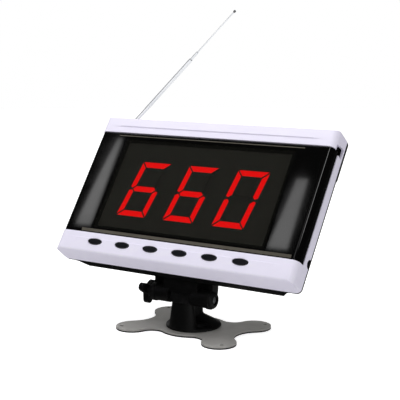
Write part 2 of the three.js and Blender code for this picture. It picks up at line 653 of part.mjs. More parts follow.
function receiverShield() {
  const top = BOARD_BACK - 2 * GAP - 1;
  const can = block(-74, -48, 86, 114, top - 4, top);
  return can.subtract(block(-73.4, -48.6, 86.6, 113.4, top - 3.4, top + 1));
}

function buzzer() {
  const back = -PAN_DEPTH + PAN_WALL + GAP;
  const ring = rod(BUZZER.u, BUZZER.v, BUZZER.radius, back, back + 5, 'z', 32);
  return ring.subtract(rod(BUZZER.u, BUZZER.v, 2, back - 1, back + 3, 'z', 16));
}

// The power inlet: a round socket with its centre pin, in a square body.
function powerJack() {
  const back = -PAN_DEPTH;
  const body = block(JACK.u - 4.6, JACK.u + 4.6, JACK.v - 5, JACK.v + 5, back + PAN_WALL + GAP, 3);
  const nose = rod(JACK.u, JACK.v, 4, back, -5, 'z', 24);
  const socket = rod(JACK.u, JACK.v, 2.9, back - 1, 0, 'z', 20);
  const pin = rod(JACK.u, JACK.v, 1, back + 1, 1, 'z', 12);
  return body.add(nose).subtract(socket).add(pin);
}

// ---------------------------------------------------------------- antenna

// Antenna pieces stand along +y from the pivot; their group leans them over.
function antennaKnuckle() {
  const reach = TUBE_1.outer;
  const eye = rod(0, 0, KNUCKLE_EYE, -reach, reach, 'z', 20);
  return eye.subtract(rod(0, 0, 1.7, -10, 10, 'z', 16));
}

function tube(size, closedEnd) {
  const outer = rod(0, 0, size.outer, size.start, size.end, 'y', 16);
  if (!size.bore) {
    return outer;
  }
  return outer.subtract(rod(0, 0, size.bore, size.start + closedEnd, size.end + 1, 'y', 16));
}

function antennaFoot() {
  const eye = rod(0, 0, KNUCKLE_EYE + 1, -TUBE_1.outer, TUBE_1.outer, 'z', 20);
  return tube(TUBE_1, 2).subtract(eye.subtract(block(-9, 9, 4.3, 20, -9, 9)));
}

function antennaTip() {
  const ball = new THREE.SphereGeometry(TIP_RADIUS, 16, 10);
  ball.translate(0, TUBE_3.end + GAP + TIP_RADIUS, 0);
  return solid(ball);
}

// ---------------------------------------------------------------- assembly

const receiver = new THREE.Group();

piece(receiver, 'base_pad', basePad(), FOAM);
piece(receiver, 'base_plate', basePlate(), PAINTED_STEEL);
piece(receiver, 'swivel_screw', swivelScrew(), ZINC_STEEL);
piece(receiver, 'swivel_washer', swivelWasher(), ZINC_STEEL);
piece(receiver, 'pedestal', pedestal(), BLACK_PLASTIC);

const tilting = new THREE.Group();
tilting.position.set(0, HINGE_Y, HINGE_Z);
tilting.rotation.x = Math.PI / 2 - TILT;
receiver.add(tilting);

piece(tilting, 'tilt_yoke', yoke(), BLACK_PLASTIC);
piece(tilting, 'tilt_bolt', tiltBolt(), ZINC_STEEL);
piece(tilting, 'tilt_nut', tiltNut(), ZINC_STEEL);
piece(tilting, 'wing_knob', wingKnob(), BLACK_PLASTIC).rotation.x = TILT - Math.PI / 2;

const head = new THREE.Group();
head.position.set(0, HEAD_LIFT, HEAD_FORWARD);
tilting.add(head);

piece(head, 'front_frame', frontFrame(), WHITE_PLASTIC);
piece(head, 'front_bezel', frontBezel(), GLOSS_BLACK);
piece(head, 'display_filter', displayFilter(), SMOKED_PANEL);
piece(head, 'rear_cover', rearCover(), BLACK_PLASTIC);
piece(head, 'display_board', displayBoard(), BOARD_GREEN);
piece(head, 'key_board', keyBoard(), BOARD_GREEN);
piece(head, 'receiver_board', receiverBoard(), BOARD_GREEN);
piece(head, 'receiver_shield', receiverShield(), ZINC_STEEL);
piece(head, 'buzzer', buzzer(), BLACK_PLASTIC);
piece(head, 'power_jack', powerJack(), BLACK_PLASTIC);

for (let index = 0; index < DIGIT_COUNT; index += 1) {
  piece(head, `digit_housing_${index + 1}`, digitHousing(index), HOUSING_PLASTIC);
  piece(head, `digit_diffuser_${index + 1}`, digitDiffuser(index), SEGMENT_RED);
}

for (let index = 0; index < KEY_COUNT; index += 1) {
  piece(head, `key_switch_${index + 1}`, keySwitch(keyCentre(index)), BLACK_PLASTIC);
  piece(head, `key_cap_${index + 1}`, keyCap(keyCentre(index)), KEY_PLASTIC);
}

REAR_SCREWS.forEach(([u, v], index) => {
  const headBack = -GAP - RIM_THICK - GAP - 1.6;
  const body = screw(headBack, 1.6, 2.3, 1.2, 9.5);
  piece(head, `cover_screw_${index + 1}`, body, ZINC_STEEL).position.set(u, v, 0);
});

BRACKET_SCREWS.forEach(([u, v], index) => {
  const headBack = -PAN_DEPTH - GAP - YOKE_PLATE - GAP - 2;
  const body = screw(headBack, 2, 3.6, 1.4, -8.2);
  piece(head, `bracket_screw_${index + 1}`, body, ZINC_STEEL).position.set(u, v, 0);
});

const antenna = new THREE.Group();
antenna.position.set(ANTENNA_U, ANTENNA_V, ANTENNA_N);
antenna.rotation.z = -ANTENNA_LEAN;
head.add(antenna);

const antennaScrew = screw(-TUBE_1.outer - GAP - 1.4, 1.4, 3, 1, 5.2);
piece(antenna, 'antenna_screw', antennaScrew, CHROME);
piece(antenna, 'antenna_knuckle', antennaKnuckle(), CHROME);
piece(antenna, 'antenna_tube_1', antennaFoot(), CHROME);
piece(antenna, 'antenna_tube_2', tube(TUBE_2, 1.5), CHROME);
piece(antenna, 'antenna_tube_3', tube(TUBE_3, 0), CHROME);
piece(antenna, 'antenna_tip', antennaTip(), CHROME);

export default receiver;
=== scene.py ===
# %% [markdown]
# # A table-top call receiver
# The object is the display of a wireless calling system: a wide white head with a glossy black
# panel, three red seven-segment digits, six oval keys, a telescopic antenna and a tilting stand.
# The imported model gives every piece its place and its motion. This lesson builds a finer skin
# around it, one piece at a time, and gives each piece a finish made of nodes.

# %% Load the frame
import math
import bmesh
import bpy
from mathutils import Matrix, Vector


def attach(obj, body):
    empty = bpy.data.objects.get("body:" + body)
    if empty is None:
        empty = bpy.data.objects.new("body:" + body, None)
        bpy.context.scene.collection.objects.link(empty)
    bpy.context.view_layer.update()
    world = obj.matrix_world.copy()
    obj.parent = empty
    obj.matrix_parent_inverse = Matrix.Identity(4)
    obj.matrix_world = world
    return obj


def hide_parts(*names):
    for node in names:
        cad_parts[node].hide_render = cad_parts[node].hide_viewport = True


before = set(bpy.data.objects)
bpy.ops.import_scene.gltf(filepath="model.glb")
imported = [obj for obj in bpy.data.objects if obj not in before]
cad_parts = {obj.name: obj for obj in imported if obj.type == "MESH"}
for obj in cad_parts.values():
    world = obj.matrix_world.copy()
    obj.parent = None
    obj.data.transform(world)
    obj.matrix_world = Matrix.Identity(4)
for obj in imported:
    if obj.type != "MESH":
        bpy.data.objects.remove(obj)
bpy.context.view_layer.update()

# %% [markdown]
# ## Camera
# A product picture is taken from a little above the table and from the right. The camera could
# be aimed with a Track To constraint, but a direction worked out from two angles is plainer and
# leaves nothing live in the file. A long lens keeps the wide head from looking stretched.

# %% Camera
AZIMUTH = math.radians(33.10)
ELEVATION = math.radians(9.29)
DISTANCE = 1.0327
AIM = Vector((0, 0, 0.1))
ASIDE = 0.00651
ABOVE = 0.03105
FOCAL_LENGTH = 93.12
SENSOR_WIDTH = 36

forward = Vector((-math.sin(AZIMUTH) * math.cos(ELEVATION),
                  math.cos(AZIMUTH) * math.cos(ELEVATION), -math.sin(ELEVATION)))
right = Vector((math.cos(AZIMUTH), math.sin(AZIMUTH), 0))
upward = right.cross(forward)
camera = bpy.data.objects.new("camera", bpy.data.cameras.new("camera"))
bpy.context.scene.collection.objects.link(camera)
camera.location = AIM - forward * DISTANCE + right * ASIDE + upward * ABOVE
camera.rotation_euler = (math.pi / 2 - ELEVATION, 0, AZIMUTH)
camera.data.sensor_width = SENSOR_WIDTH
camera.data.lens = FOCAL_LENGTH
bpy.context.scene.camera = camera
bpy.context.scene.view_settings.view_transform = "Standard"
print("camera at", camera.location[:])

# %% [markdown]
# ## Working directions
# The head leans back, so it is easiest to model it lying flat: u runs right, v up the face and
# n out of the face, in millimetres. One matrix then stands it up. The yoke uses the same
# directions, but measured from the tilt bolt.

# %% Working directions
MM = Matrix.Scale(0.001, 4)
LEAN = math.radians(54.4)
BOLT_Y = -0.019
BOLT_Z = 0.038
HEAD_LIFT = 9.3
HEAD_FORWARD = 27.2
HINGE = Matrix.Translation((0, BOLT_Y, BOLT_Z)) @ Matrix.Rotation(LEAN, 4, "X") @ MM
HEAD = HINGE @ Matrix.Translation((0, HEAD_LIFT, HEAD_FORWARD))
ALONG = {
    "u": Matrix(((0, 0, 1, 0), (1, 0, 0, 0), (0, 1, 0, 0), (0, 0, 0, 1))),
    "v": Matrix(((0, 1, 0, 0), (0, 0, 1, 0), (1, 0, 0, 0), (0, 0, 0, 1))),
    "n": Matrix.Identity(4),
}

# %% [markdown]
# ## Plates and turned bodies
# Nearly every moulded part starts as a flat outline that is given a thickness. The corners of
# the outline are rounded while it is still flat, because a bevel on corner points is simpler and
# cleaner than one on the edges of a solid. Round parts are spun from half a section instead.

# %% Plates and turned bodies
def rounded(bm, radius, steps, chosen=None):
    corners = [vert for vert in bm.verts if chosen is None or chosen(vert.co)]
    bmesh.ops.bevel(bm, geom=corners, offset=radius, affect="VERTICES", segments=steps,
                    profile=0.5, material=-1)


def plate(points, low, high, along="n", radius=0, steps=6, chosen=None):
    bm = bmesh.new()
    bm.faces.new([bm.verts.new((x, y, 0)) for x, y in points])
    if radius:
        rounded(bm, radius, steps, chosen)
    return thickened(bm, low, high, along)


def thickened(bm, low, high, along="n"):
    bmesh.ops.translate(bm, verts=bm.verts, vec=(0, 0, low))
    grown = bmesh.ops.extrude_face_region(bm, geom=bm.faces[:])["geom"]
    risen = [part for part in grown if isinstance(part, bmesh.types.BMVert)]
    bmesh.ops.translate(bm, verts=risen, vec=(0, 0, high - low))
    bmesh.ops.recalc_face_normals(bm, faces=bm.faces)
    bmesh.ops.transform(bm, matrix=ALONG[along], verts=bm.verts)
    return bm


def bar(a0, a1, b0, b1, low, high, along="n", radius=0, steps=5):
    return plate([(a0, b0), (a1, b0), (a1, b1), (a0, b1)], low, high, along, radius, steps)


def disc(a, b, radius, low, high, along="n", steps=48, stretch=1):
    bm = bmesh.new()
    bmesh.ops.create_circle(bm, cap_ends=True, segments=steps, radius=radius)
    bmesh.ops.scale(bm, vec=(1, stretch, 1), verts=bm.verts)
    bmesh.ops.translate(bm, verts=bm.verts, vec=(a, b, 0))
    return thickened(bm, low, high, along)


def turned(profile, steps=64):
    bm = bmesh.new()
    chain = [bm.verts.new((radius, 0, height)) for radius, height in profile]
    edges = [bm.edges.new(pair) for pair in zip(chain, chain[1:])]
    bmesh.ops.spin(bm, geom=chain + edges, cent=(0, 0, 0), axis=(0, 0, 1), angle=math.tau,
                   steps=steps, use_merge=True)
    bmesh.ops.remove_doubles(bm, verts=bm.verts, dist=1e-4)
    bmesh.ops.recalc_face_normals(bm, faces=bm.faces)
    return bm


# %% [markdown]
# ## Joining, cutting and softening
# A Boolean joins or cuts two bodies. It could stay as a live modifier, but the bevel that comes
# after it needs the real edges, so its result is read back at once. Moulded parts never have
# knife edges: every edge sharper than a given angle gets a small round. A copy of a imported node
# is merged first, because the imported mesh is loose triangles. Its flat faces are triangulated
# again before the round, since a bevel can fold a large face that has a hollow in it.

# %% Joining, cutting and softening
SAME_POINT = 1e-3
SAME_PLANE = math.radians(0.5)
PACKED_CORNER = 35


def gathered(bodies):
    whole = bmesh.new()
    for bm in bodies:
        loose = bpy.data.meshes.new("loose")
        bm.to_mesh(loose)
        bm.free()
        whole.from_mesh(loose)
        bpy.data.meshes.remove(loose)
    return whole


def merged(bm):
    bmesh.ops.remove_doubles(bm, verts=bm.verts, dist=SAME_POINT)
    bmesh.ops.dissolve_limit(bm, angle_limit=SAME_PLANE, verts=bm.verts, edges=bm.edges)
    return bm


def combined(bm, tool, operation):
    pair = []
    for source in (bm, tool):
        mesh = bpy.data.meshes.new("combine")
        source.to_mesh(mesh)
        source.free()
        pair.append(bpy.data.objects.new("combine", mesh))
        bpy.context.scene.collection.objects.link(pair[-1])
    boolean = pair[0].modifiers.new("combine", "BOOLEAN")
    boolean.object = pair[1]
    boolean.operation = operation
    boolean.solver = "EXACT"
    result = bmesh.new()
    result.from_object(pair[0], bpy.context.evaluated_depsgraph_get())
    for obj in pair:
        mesh = obj.data
        bpy.data.objects.remove(obj)
        bpy.data.meshes.remove(mesh)
    return merged(result)


def cut(bm, *tools):
    return combined(bm, gathered(tools), "DIFFERENCE")


def joined(bm, *others):
    for other in others:
        bm = combined(bm, other, "UNION")
    return bm


def softened(bm, width, steps=2, degrees=30):
    sharp = [edge for edge in bm.edges
             if edge.is_manifold and edge.calc_face_angle(0) > math.radians(degrees)]
    bmesh.ops.bevel(bm, geom=sharp, offset=width, affect="EDGES", segments=steps, profile=0.5,
                    material=-1, clamp_overlap=False)
    bmesh.ops.remove_doubles(bm, verts=bm.verts, dist=1e-4)
    return bm


def refined(node, width):
    bm = bmesh.new()
    bm.from_mesh(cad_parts[node].data)
    bmesh.ops.transform(bm, matrix=MM.inverted(), verts=bm.verts)
    bm = merged(bm)
    bmesh.ops.triangulate(bm, faces=bm.faces)
    return softened(bm, width, degrees=PACKED_CORNER)


# %% [markdown]
# ## Placing a piece
# A finished piece is stood up by its matrix, shaded smooth except at its true corners, and tied
# to the body that it moves with. Weighted normals keep the large faces flat right up to their
# rounds, as a polished mould does. The object stays at the origin, so a pattern in Object
# coordinates is measured in metres and never slides.

# %% Placing a piece
def placed(name, bm, matrix, body, look, nodes=(), degrees=38):
    bmesh.ops.transform(bm, matrix=matrix, verts=bm.verts)
    for face in bm.faces:
        face.smooth = True
    for edge in bm.edges:
        edge.smooth = edge.calc_face_angle(0) < math.radians(degrees)
    mesh = bpy.data.meshes.new(name)
    bm.to_mesh(mesh)
    bm.free()
    obj = bpy.data.objects.new(name, mesh)
    bpy.context.scene.collection.objects.link(obj)
    mesh.materials.append(look)
    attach(obj, body)
    for node in nodes:
        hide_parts(node)
    obj.modifiers.new("flat_faces", "WEIGHTED_NORMAL").keep_sharp = True
    print(name, len(mesh.polygons), "faces")
    return obj


# %% [markdown]
# ## Node helpers
# A surface effect that several finishes share is a node group, built once and placed in each of
# them with its own values. It could be copied from material to material, but then one correction
# would have to be made many times. A group puts out masks and heights only; the shader that uses
# them stays in each material.

# %% Node helpers
def effect(name, inputs, outputs):
    group = bpy.data.node_groups.new(name, "ShaderNodeTree")
    for title, value in inputs.items():
        socket = group.interface.new_socket(title, in_out="INPUT", socket_type="NodeSocketFloat")
        socket.default_value = value
    for title in outputs:
        group.interface.new_socket(title, in_out="OUTPUT", socket_type="NodeSocketFloat")
    nodes = group.nodes
    return group, nodes, group.links, nodes.new("NodeGroupInput"), nodes.new("NodeGroupOutput")


def add(nodes, kind, **values):
    node = nodes.new(kind)
    for title, value in values.items():
        if hasattr(node, title):
            setattr(node, title, value)
        else:
            node.inputs[title.replace("_", " ")].default_value = value
    return node


def spread(nodes, links, source, low, high, to_low=0.0, to_high=1.0):
    node = nodes.new("ShaderNodeMapRange")
    links.new(source, node.inputs["Value"])
    for title, value in zip(("From Min", "From Max", "To Min", "To Max"), (low, high, to_low, to_high)):
        node.inputs[title].default_value = value
    return node.outputs["Result"]


def product(nodes, links, first, second):
    node = add(nodes, "ShaderNodeMath", operation="MULTIPLY")
    links.new(first, node.inputs[0])
    links.new(second, node.inputs[1])
    return node.outputs[0]


# %% [markdown]
# ## Moulded grain
# A mould leaves a fine texture on plastic, on top of slow waves where the wall shrank. Two noises
# of very different scale, added together, give both. Object coordinates are in metres here, so a
# scale of 2600 means grains of about 0.4 mm.

# %% Moulded grain
GRAIN, nodes, links, given, put = effect("moulded_grain", {"Scale": 2600.0, "Waves": 0.3}, ["Height"])
place = nodes.new("ShaderNodeTexCoord").outputs["Object"]
fine = add(nodes, "ShaderNodeTexNoise", Detail=2.0, Roughness=0.6)
broad = add(nodes, "ShaderNodeTexNoise", Scale=60.0, Detail=1.0)
for noise in (fine, broad):
    links.new(place, noise.inputs["Vector"])
links.new(given.outputs["Scale"], fine.inputs["Scale"])
height = add(nodes, "ShaderNodeMath", operation="ADD")
links.new(fine.outputs[0], height.inputs[0])
links.new(product(nodes, links, broad.outputs[0], given.outputs["Waves"]), height.inputs[1])
links.new(height.outputs[0], put.inputs["Height"])
print("group", GRAIN.name)

# %% [markdown]
# ## Handling
# A thing that is touched and wiped has uneven gloss. A distorted noise stands for the smudges and
# drives a small change of colour and roughness. A painted map would be finer, but it would need
# a texture file and would not fit every piece.

# %% Handling
HANDLING, nodes, links, given, put = effect("handling", {"Scale": 22.0}, ["Smudge"])
place = nodes.new("ShaderNodeTexCoord").outputs["Object"]
clouds = add(nodes, "ShaderNodeTexNoise", Detail=4.0, Roughness=0.55, Distortion=0.8)
links.new(place, clouds.inputs["Vector"])
links.new(given.outputs["Scale"], clouds.inputs["Scale"])
links.new(spread(nodes, links, clouds.outputs[0], 0.35, 0.7), put.inputs["Smudge"])
print("group", HANDLING.name)

# %% [markdown]
# ## Edge rub
# Corners wear first and turn a little paler. Pointiness finds the corners of a mesh, and a noise
# breaks the line up so that it doesn't look drawn. A bevel shader could find edges too, but it
# can't be exported.

# %% Edge rub
RUB, nodes, links, given, put = effect("edge_rub", {"Start": 0.52, "Full": 0.6}, ["Mask"])
place = nodes.new("ShaderNodeTexCoord").outputs["Object"]
breaks = add(nodes, "ShaderNodeTexNoise", Scale=180.0, Detail=3.0)
links.new(place, breaks.inputs["Vector"])
ridge = nodes.new("ShaderNodeMapRange")
links.new(nodes.new("ShaderNodeNewGeometry").outputs["Pointiness"], ridge.inputs["Value"])
links.new(given.outputs["Start"], ridge.inputs["From Min"])
links.new(given.outputs["Full"], ridge.inputs["From Max"])
links.new(product(nodes, links, ridge.outputs[0], spread(nodes, links, breaks.outputs[0], 0.4, 0.65)),
          put.inputs["Mask"])
print("group", RUB.name)

# %% [markdown]
# ## A finish helper
# Moulded, painted and plated surfaces have a lot in common: a base colour that drifts a little, a
# paler colour on worn corners, a roughness that handling changes, and grain as bump. Each finish
# could be wired by hand; one helper keeps them alike. Numbers that are the same all over sit on
# the shader itself, where the export can read them.

# %% A finish helper
def colour_of(hexadecimal):
    parts = [int(hexadecimal[index:index + 2], 16) / 255 for index in (0, 2, 4)]
    linear = [part / 12.92 if part <= 0.04045 else ((part + 0.055) / 1.055) ** 2.4 for part in parts]
    return (*linear, 1)


def grouped(nodes, group, **values):
    node = nodes.new("ShaderNodeGroup")
    node.node_tree = group
    for title, value in values.items():
        node.inputs[title].default_value = value
    return node


def tinted(nodes, links, factor, first, second):
    mix = add(nodes, "ShaderNodeMix", data_type="RGBA")
    links.new(factor, mix.inputs[0])
    for index, value in ((6, first), (7, second)):
        if isinstance(value, tuple):
            mix.inputs[index].default_value = value
        else:
            links.new(value, mix.inputs[index])
    return mix.outputs[2]


def finish(name, base, drift, worn, rough, grain=(2600.0, 0.3, 0.00002), **plain):
    look = bpy.data.materials.new(name)
    look.use_nodes = True
    nodes, links = look.node_tree.nodes, look.node_tree.links
    shader = nodes["Principled BSDF"]
    for title, value in plain.items():
        shader.inputs[title.replace("_", " ")].default_value = value
    touch = grouped(nodes, HANDLING)
    tone = tinted(nodes, links, touch.outputs["Smudge"], colour_of(base), colour_of(drift))
    if worn:
        rub = grouped(nodes, RUB)
        tone = tinted(nodes, links, rub.outputs["Mask"], tone, colour_of(worn))
    links.new(tone, shader.inputs["Base Color"])
    links.new(spread(nodes, links, touch.outputs["Smudge"], 0, 1, *rough), shader.inputs["Roughness"])
    scale, waves, depth = grain
    texture = grouped(nodes, GRAIN, Scale=scale, Waves=waves)
    bump = add(nodes, "ShaderNodeBump", Distance=depth, Strength=1.0)
    links.new(texture.outputs["Height"], bump.inputs["Height"])
    links.new(bump.outputs[0], shader.inputs["Normal"])
    look.diffuse_color = colour_of(base)
    return look


# %% [markdown]
# ## Plastics
# The head is white and gloss-black plastic, the back and the stand are black with a mould grain.
# The white leans to violet, as bluish-white plastic does. The polished panel keeps almost no
# grain and gets a clear coat, because any bump would break up its reflections.

# %% Plastics
WHITE = finish("white_plastic", "EEEAFB", "EAE6F8", "F2F0FA", (0.36, 0.46), (1500.0, 0.5, 0.00002),
               Specular_IOR_Level=0.4)
GLOSS = finish("gloss_black", "020202", "030303", None, (0.035, 0.06), (300.0, 0.2, 0.000002),
               Coat_Weight=0.6, Coat_Roughness=0.02)
# Painted reflection: a pale grey for the panel's lower strip and top bead, standing for light lines
# that the glossy borders mirror.
PAINTED_REFLECTION_GREY = finish("panel_edge_painted_reflection", "57534A", "635F55", None, (0.3, 0.4), (900.0, 0.2, 0.00001))
BLACK = finish("black_plastic", "0C0C0C", "121212", "2A2A2A", (0.5, 0.62), (1900.0, 0.4, 0.00004),
               Specular_IOR_Level=0.25)
STAND = finish("stand_plastic", "060606", "0A0A0A", "202020", (0.5, 0.62), (1700.0, 0.4, 0.00005),
               Specular_IOR_Level=0.3)
KEY = finish("key_plastic", "101116", "16171C", "30323A", (0.34, 0.46), (2200.0, 0.3, 0.00002))
SWITCH = finish("switch_plastic", "0E0E0E", "161616", None, (0.5, 0.6))
HOUSING = finish("digit_housing", "0A0A0A", "0D0D0C", None, (0.55, 0.7), (2000.0, 0.3, 0.00003),
                 Specular_IOR_Level=0.2)
TIP = finish("tip_plastic", "5E5F62", "66676A", "8A8B8E", (0.3, 0.42))
FOAM = finish("foam_pad", "0E0E0E", "171717", None, (0.9, 1.0), (1500.0, 0.2, 0.0002))
print("plastics", WHITE.name, GLOSS.name, BLACK.name, STAND.name)

# %% [markdown]
# ## Metals and boards
# Screws and the screening can are bare plated steel. The base is painted or brushed grey steel
# that hardly shines, so it is made as a plain rough surface. The antenna is chrome with a share
# of plain white, which stands for the bright room that it mirrors from every side.

# %% Metals and boards
BOARD = finish("circuit_board", "1D4A2A", "245634", None, (0.35, 0.5), (1200.0, 0.3, 0.00003))
TIN = finish("tinned_steel", "C8C9C4", "B4B5B0", None, (0.25, 0.4), Metallic=1.0)
ZINC = finish("zinc_steel", "C4C6CA", "A9ABAF", "DCDDE0", (0.22, 0.38), Metallic=1.0)
CHROME = finish("chrome", "F2F3F6", "E6E8EC", None, (0.07, 0.16), (700.0, 0.1, 0.000004), Metallic=0.7)
STEEL = finish("grey_steel", "A8A6A2", "9A9894", "B8B6B1", (0.42, 0.55), (2400.0, 0.6, 0.00006),
               Specular_IOR_Level=0.4)
print("metals", ZINC.name, CHROME.name, STEEL.name)

# %% [markdown]
# ## Smoked filter and red glow
# The sheet over the digits is matt smoked acrylic. Real glass shading would need many light
# bounces to show the digits behind it, so the sheet is partly see-through instead: its own dark
# surface and the glow from behind are simply mixed. Most of its grey comes from the mask behind
# it. The lit lenses give out red light, and the unlit ones are as grey as the mask.

# %% Smoked filter and red glow
FILTER = finish("smoked_filter", "0E0E0A", "11110D", None, (0.42, 0.55), (2600.0, 0.2, 0.00003),
                Specular_IOR_Level=0.06, Alpha=0.5)
MASK = finish("display_mask", "66655C", "6A6960", None, (0.6, 0.7), (2000.0, 0.3, 0.00002),
              Specular_IOR_Level=0.2)
RED = finish("red_segments", "B40A0A", "A80808", None, (0.4, 0.5), (1500.0, 0.2, 0.00002),
             Specular_IOR_Level=0.1,
             Emission_Color=(0.9, 0.001, 0.002, 1), Emission_Strength=3.0)
UNLIT = finish("unlit_segments", "62605A", "66645E", None, (0.5, 0.6), (1500.0, 0.2, 0.00002),
               Specular_IOR_Level=0.2)
print("display finishes", FILTER.name, MASK.name, RED.name, UNLIT.name)

# %% [markdown]
# ## Front frame
# The white moulding is a bar above and a bar below the window, joined by a thin strip at each
# side. Its shape could be swept round the window, but the bars and the strips have different
# sections. Three outlines that trim each other are simpler: the section of the bars, the plan of
# the rounded ends, and the front view.

# %% Front frame
HALF = 139
LOW_EDGE = 1.2
HEIGHT = 163.6
CREST = 21.6
FACE = 23
WALL = 3.2
STRIP_DEPTH = 9.5
WINDOW = (25.1, 143.4)
INNER = HALF - WALL
KEY_MIDDLE = -4.3
KEY_PITCH = 34.2
KEYS = [KEY_MIDDLE + (index - 2.5) * KEY_PITCH for index in range(6)]
KEY_V = 15.5
KEY_HOLE = {"radius": 8.9, "stretch": 0.393}
BEYOND = 30


def on_crest(place):
    return place.y > CREST - 0.6 and (place.x < 5 or place.x > HEIGHT - 4)


def on_end(place):
    return abs(place.x - CREST) < 0.1


section = [(LOW_EDGE, 0), (LOW_EDGE + 2.7, CREST), (18.4, FACE), (18.8, 22.2), (150.4, 22.2),
           (150.8, FACE), (HEIGHT - 2.1, CREST), (HEIGHT, 0)]
body = plate(section, -HALF - 1, HALF + 1, "u", 2.4, 5, on_crest)
plan = [(0, HALF), (CREST, HALF - 0.9), (22.4, 116), (24.5, 108),
        (24.5, -108), (22.4, -116), (CREST, 0.9 - HALF), (0, -HALF)]
ends = plate(plan, -1, HEIGHT + 1, "v", 6.4, 8, on_end)
front = bar(-HALF, HALF, LOW_EDGE, HEIGHT, 0, FACE + 3, "n", 5, 8)
body = combined(combined(body, ends, "INTERSECT"), front, "INTERSECT")
print("frame blank", len(body.faces), "faces")

# %% [markdown]
# ## Hollows of the front frame
# The moulding is a shell: each bar is hollow, and the window is open right through. The hollows
# could be one inner copy of the outside, but plain boxes follow its straight walls well enough
# and are easy to measure. The key holes are a little wider than the keys all round.

# %% Hollows of the front frame
room = bar(-HALF - 2, HALF + 2, *WINDOW, STRIP_DEPTH, BEYOND)
throat = bar(-INNER, INNER, *WINDOW, -1, 10)
hollow = bar(-INNER, INNER, LOW_EDGE + WALL, HEIGHT - WALL, -2, STRIP_DEPTH - 0.2)
low_bar = bar(-INNER + 2, INNER - 2, 5.4, 22.4, 5, FACE - WALL)
top_bar = bar(-INNER + 2, INNER - 2, 146.1, HEIGHT - 3.4, 5, FACE - WALL)
for tool in (hollow, throat, room, low_bar, top_bar):
    body = cut(body, tool)
notch = [(148.6, 16.7), (150.8, 1.7), (139.8, 1.3), (141.2, 16.3)]
for side in (-1, 1):
    reach = sorted((side * (INNER - 1), side * (HALF + 1)))
    body = cut(body, plate(notch, *reach, "u", 1.2, 3), disc(30.5, 0, 4.6, *reach, "u"))
body = cut(body, *[disc(u, KEY_V, low=15, high=BEYOND, **KEY_HOLE) for u in KEYS])
placed("frame_moulding", softened(body, 0.35, 2, 28), HEAD, "head", WHITE,
       ["front_frame"], 30)

# %% [markdown]
# ## Gloss panel
# The black panel fills the window, eases back a little over its flanks and turns round the side
# of the head. It could be a subdivided sheet; here its plan is an open chain of corner points
# that is rounded, raised along v and given a wall, so that the reflections stay clean.

# %% Gloss panel
PANEL_SIDE = 137.8
PANEL_BREAK = 101.6
PANEL_FACE = 22
FLANK_END = 21.2
PANEL = [(PANEL_SIDE, 9.8), (PANEL_SIDE, FLANK_END), (PANEL_BREAK, PANEL_FACE)]
PANEL_FOOT = 25.4
PANEL_RISE = 117.7
PANEL_WALL = 2.4
TURN = 6.6

bm = bmesh.new()
loop = PANEL + [(-u, n) for u, n in reversed(PANEL)]
chain = [bm.verts.new((u, PANEL_FOOT, n)) for u, n in loop]
for pair in zip(chain, chain[1:]):
    bm.edges.new(pair)
rounded(bm, TURN, 12, lambda place: abs(place.z - FLANK_END) < 0.1)
rounded(bm, 0.9, 4, lambda place: abs(abs(place.x) - PANEL_BREAK) < 0.5)
grown = bmesh.ops.extrude_edge_only(bm, edges=bm.edges[:])["geom"]
raised = [part for part in grown if isinstance(part, bmesh.types.BMVert)]
bmesh.ops.translate(bm, vec=(0, PANEL_RISE, 0), verts=raised)
bmesh.ops.recalc_face_normals(bm, faces=bm.faces)
if sum(face.normal.z for face in bm.faces) < 0:
    bmesh.ops.reverse_faces(bm, faces=bm.faces)
bmesh.ops.solidify(bm, geom=bm.faces[:], thickness=PANEL_WALL)
bmesh.ops.recalc_face_normals(bm, faces=bm.faces)
print("panel sheet", len(bm.faces), "faces")

# %% [markdown]
# ## Borders of the gloss panel
# The sheet's lower and upper borders turn in towards the white bars. They could be modelled in
# the sheet's plan only as a full subdivided surface, so they are cut to slopes instead, and
# rounded afterwards. A hidden ledge round the opening carries the filter.

# %% Borders of the gloss panel
slope = plate([(24, 19), (24, 26), (29.6, 26), (29.6, 22.05), (25.3, 20.6)], -140, 140, "u")
brow = plate([(145, 19), (145, 26), (139.6, 26), (139.6, 22.05), (143.2, 20.9)], -140, 140, "u")
opening = bar(-100.3, 100.3, 31.1, 135.9, 0, BEYOND, "n", 1, 4)
bm = cut(cut(bm, slope, brow), opening)
ledge = cut(bar(-103.5, 103.5, 28.2, 138.8, 18, 20.4), bar(-97, 97, 34.4, 132.6, 0, BEYOND))
bm = gathered([softened(bm, 0.25, 3, 14), ledge])
placed("gloss_panel", bm, HEAD, "head", GLOSS, ["front_bezel"], 34)

# %% [markdown]
# ## Borders with painted reflections
# On the lower slope lies a satin strip, and along the top of the panel runs a bead less than a
# millimetre wide. Both are separate bodies whose pale grey is a painted reflection: it stands for
# the light lines that the glossy borders mirror, and a small step of their own gives it a crisp edge.

# %% Borders with painted reflections
low_strip = [(26.6, 20.73), (29.4, 21.68), (29.4, 22.06), (26.6, 21.12)]
# The strip's grey is a painted reflection of light on the lower slope.
placed("low_strip_painted_reflection", plate(low_strip, -113, 130, "u"), HEAD, "head", PAINTED_REFLECTION_GREY)
# The bead's grey is a painted highlight along the top of the panel.
bead = softened(bar(-112, 109, 138.8, 139.7, 21.8, 22.25), 0.15, 2)
placed("top_bead_painted_reflection", bead, HEAD, "head", PAINTED_REFLECTION_GREY)

# %% [markdown]
# ## Display
# Behind the filter stand three digit modules: a black box with seven slots, and a red lens in
# each slot. A lens is a flat stroke with mitred ends. The display shows 660, so six lenses of
# each digit are lit and one is dark. A lit and an unlit lens differ only in their material, so
# they are built by the same loop. A printed grey mask hides the rest of the inside, with a
# window over each stroke.

